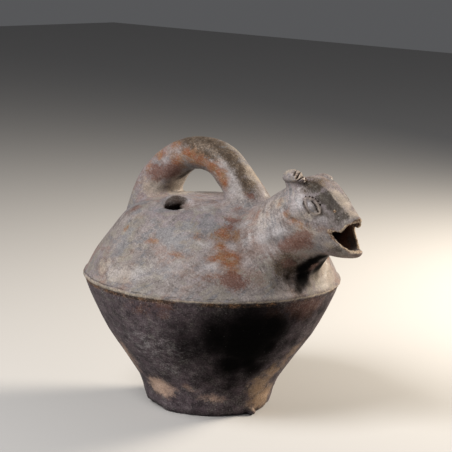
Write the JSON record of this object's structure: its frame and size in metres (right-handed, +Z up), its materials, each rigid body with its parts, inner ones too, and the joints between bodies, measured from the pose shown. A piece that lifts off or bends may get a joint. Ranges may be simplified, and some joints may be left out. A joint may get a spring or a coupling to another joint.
{
  "type": "clay pot",
  "caption": "Hollow fired-clay pot with a sharp shoulder ridge, an arched handle over its crown, an animal-head pouring spout and a filling hole beside the handle.",
  "frame": {"origin": "centre of the flat underside of the foot", "axes": "+Z up along the body's axis, +X towards the animal's nose in the plane of the handle, the filling hole on the -Y side"},
  "size_m": [0.2183, 0.1816, 0.1883],
  "materials": {
    "fired_clay": "burnished by hand, dull where it is worn, chipped and fire-clouded"
  },
  "bodies": {
    "root": {"clay_pot": "fired_clay"}
  },
  "joints": []
}
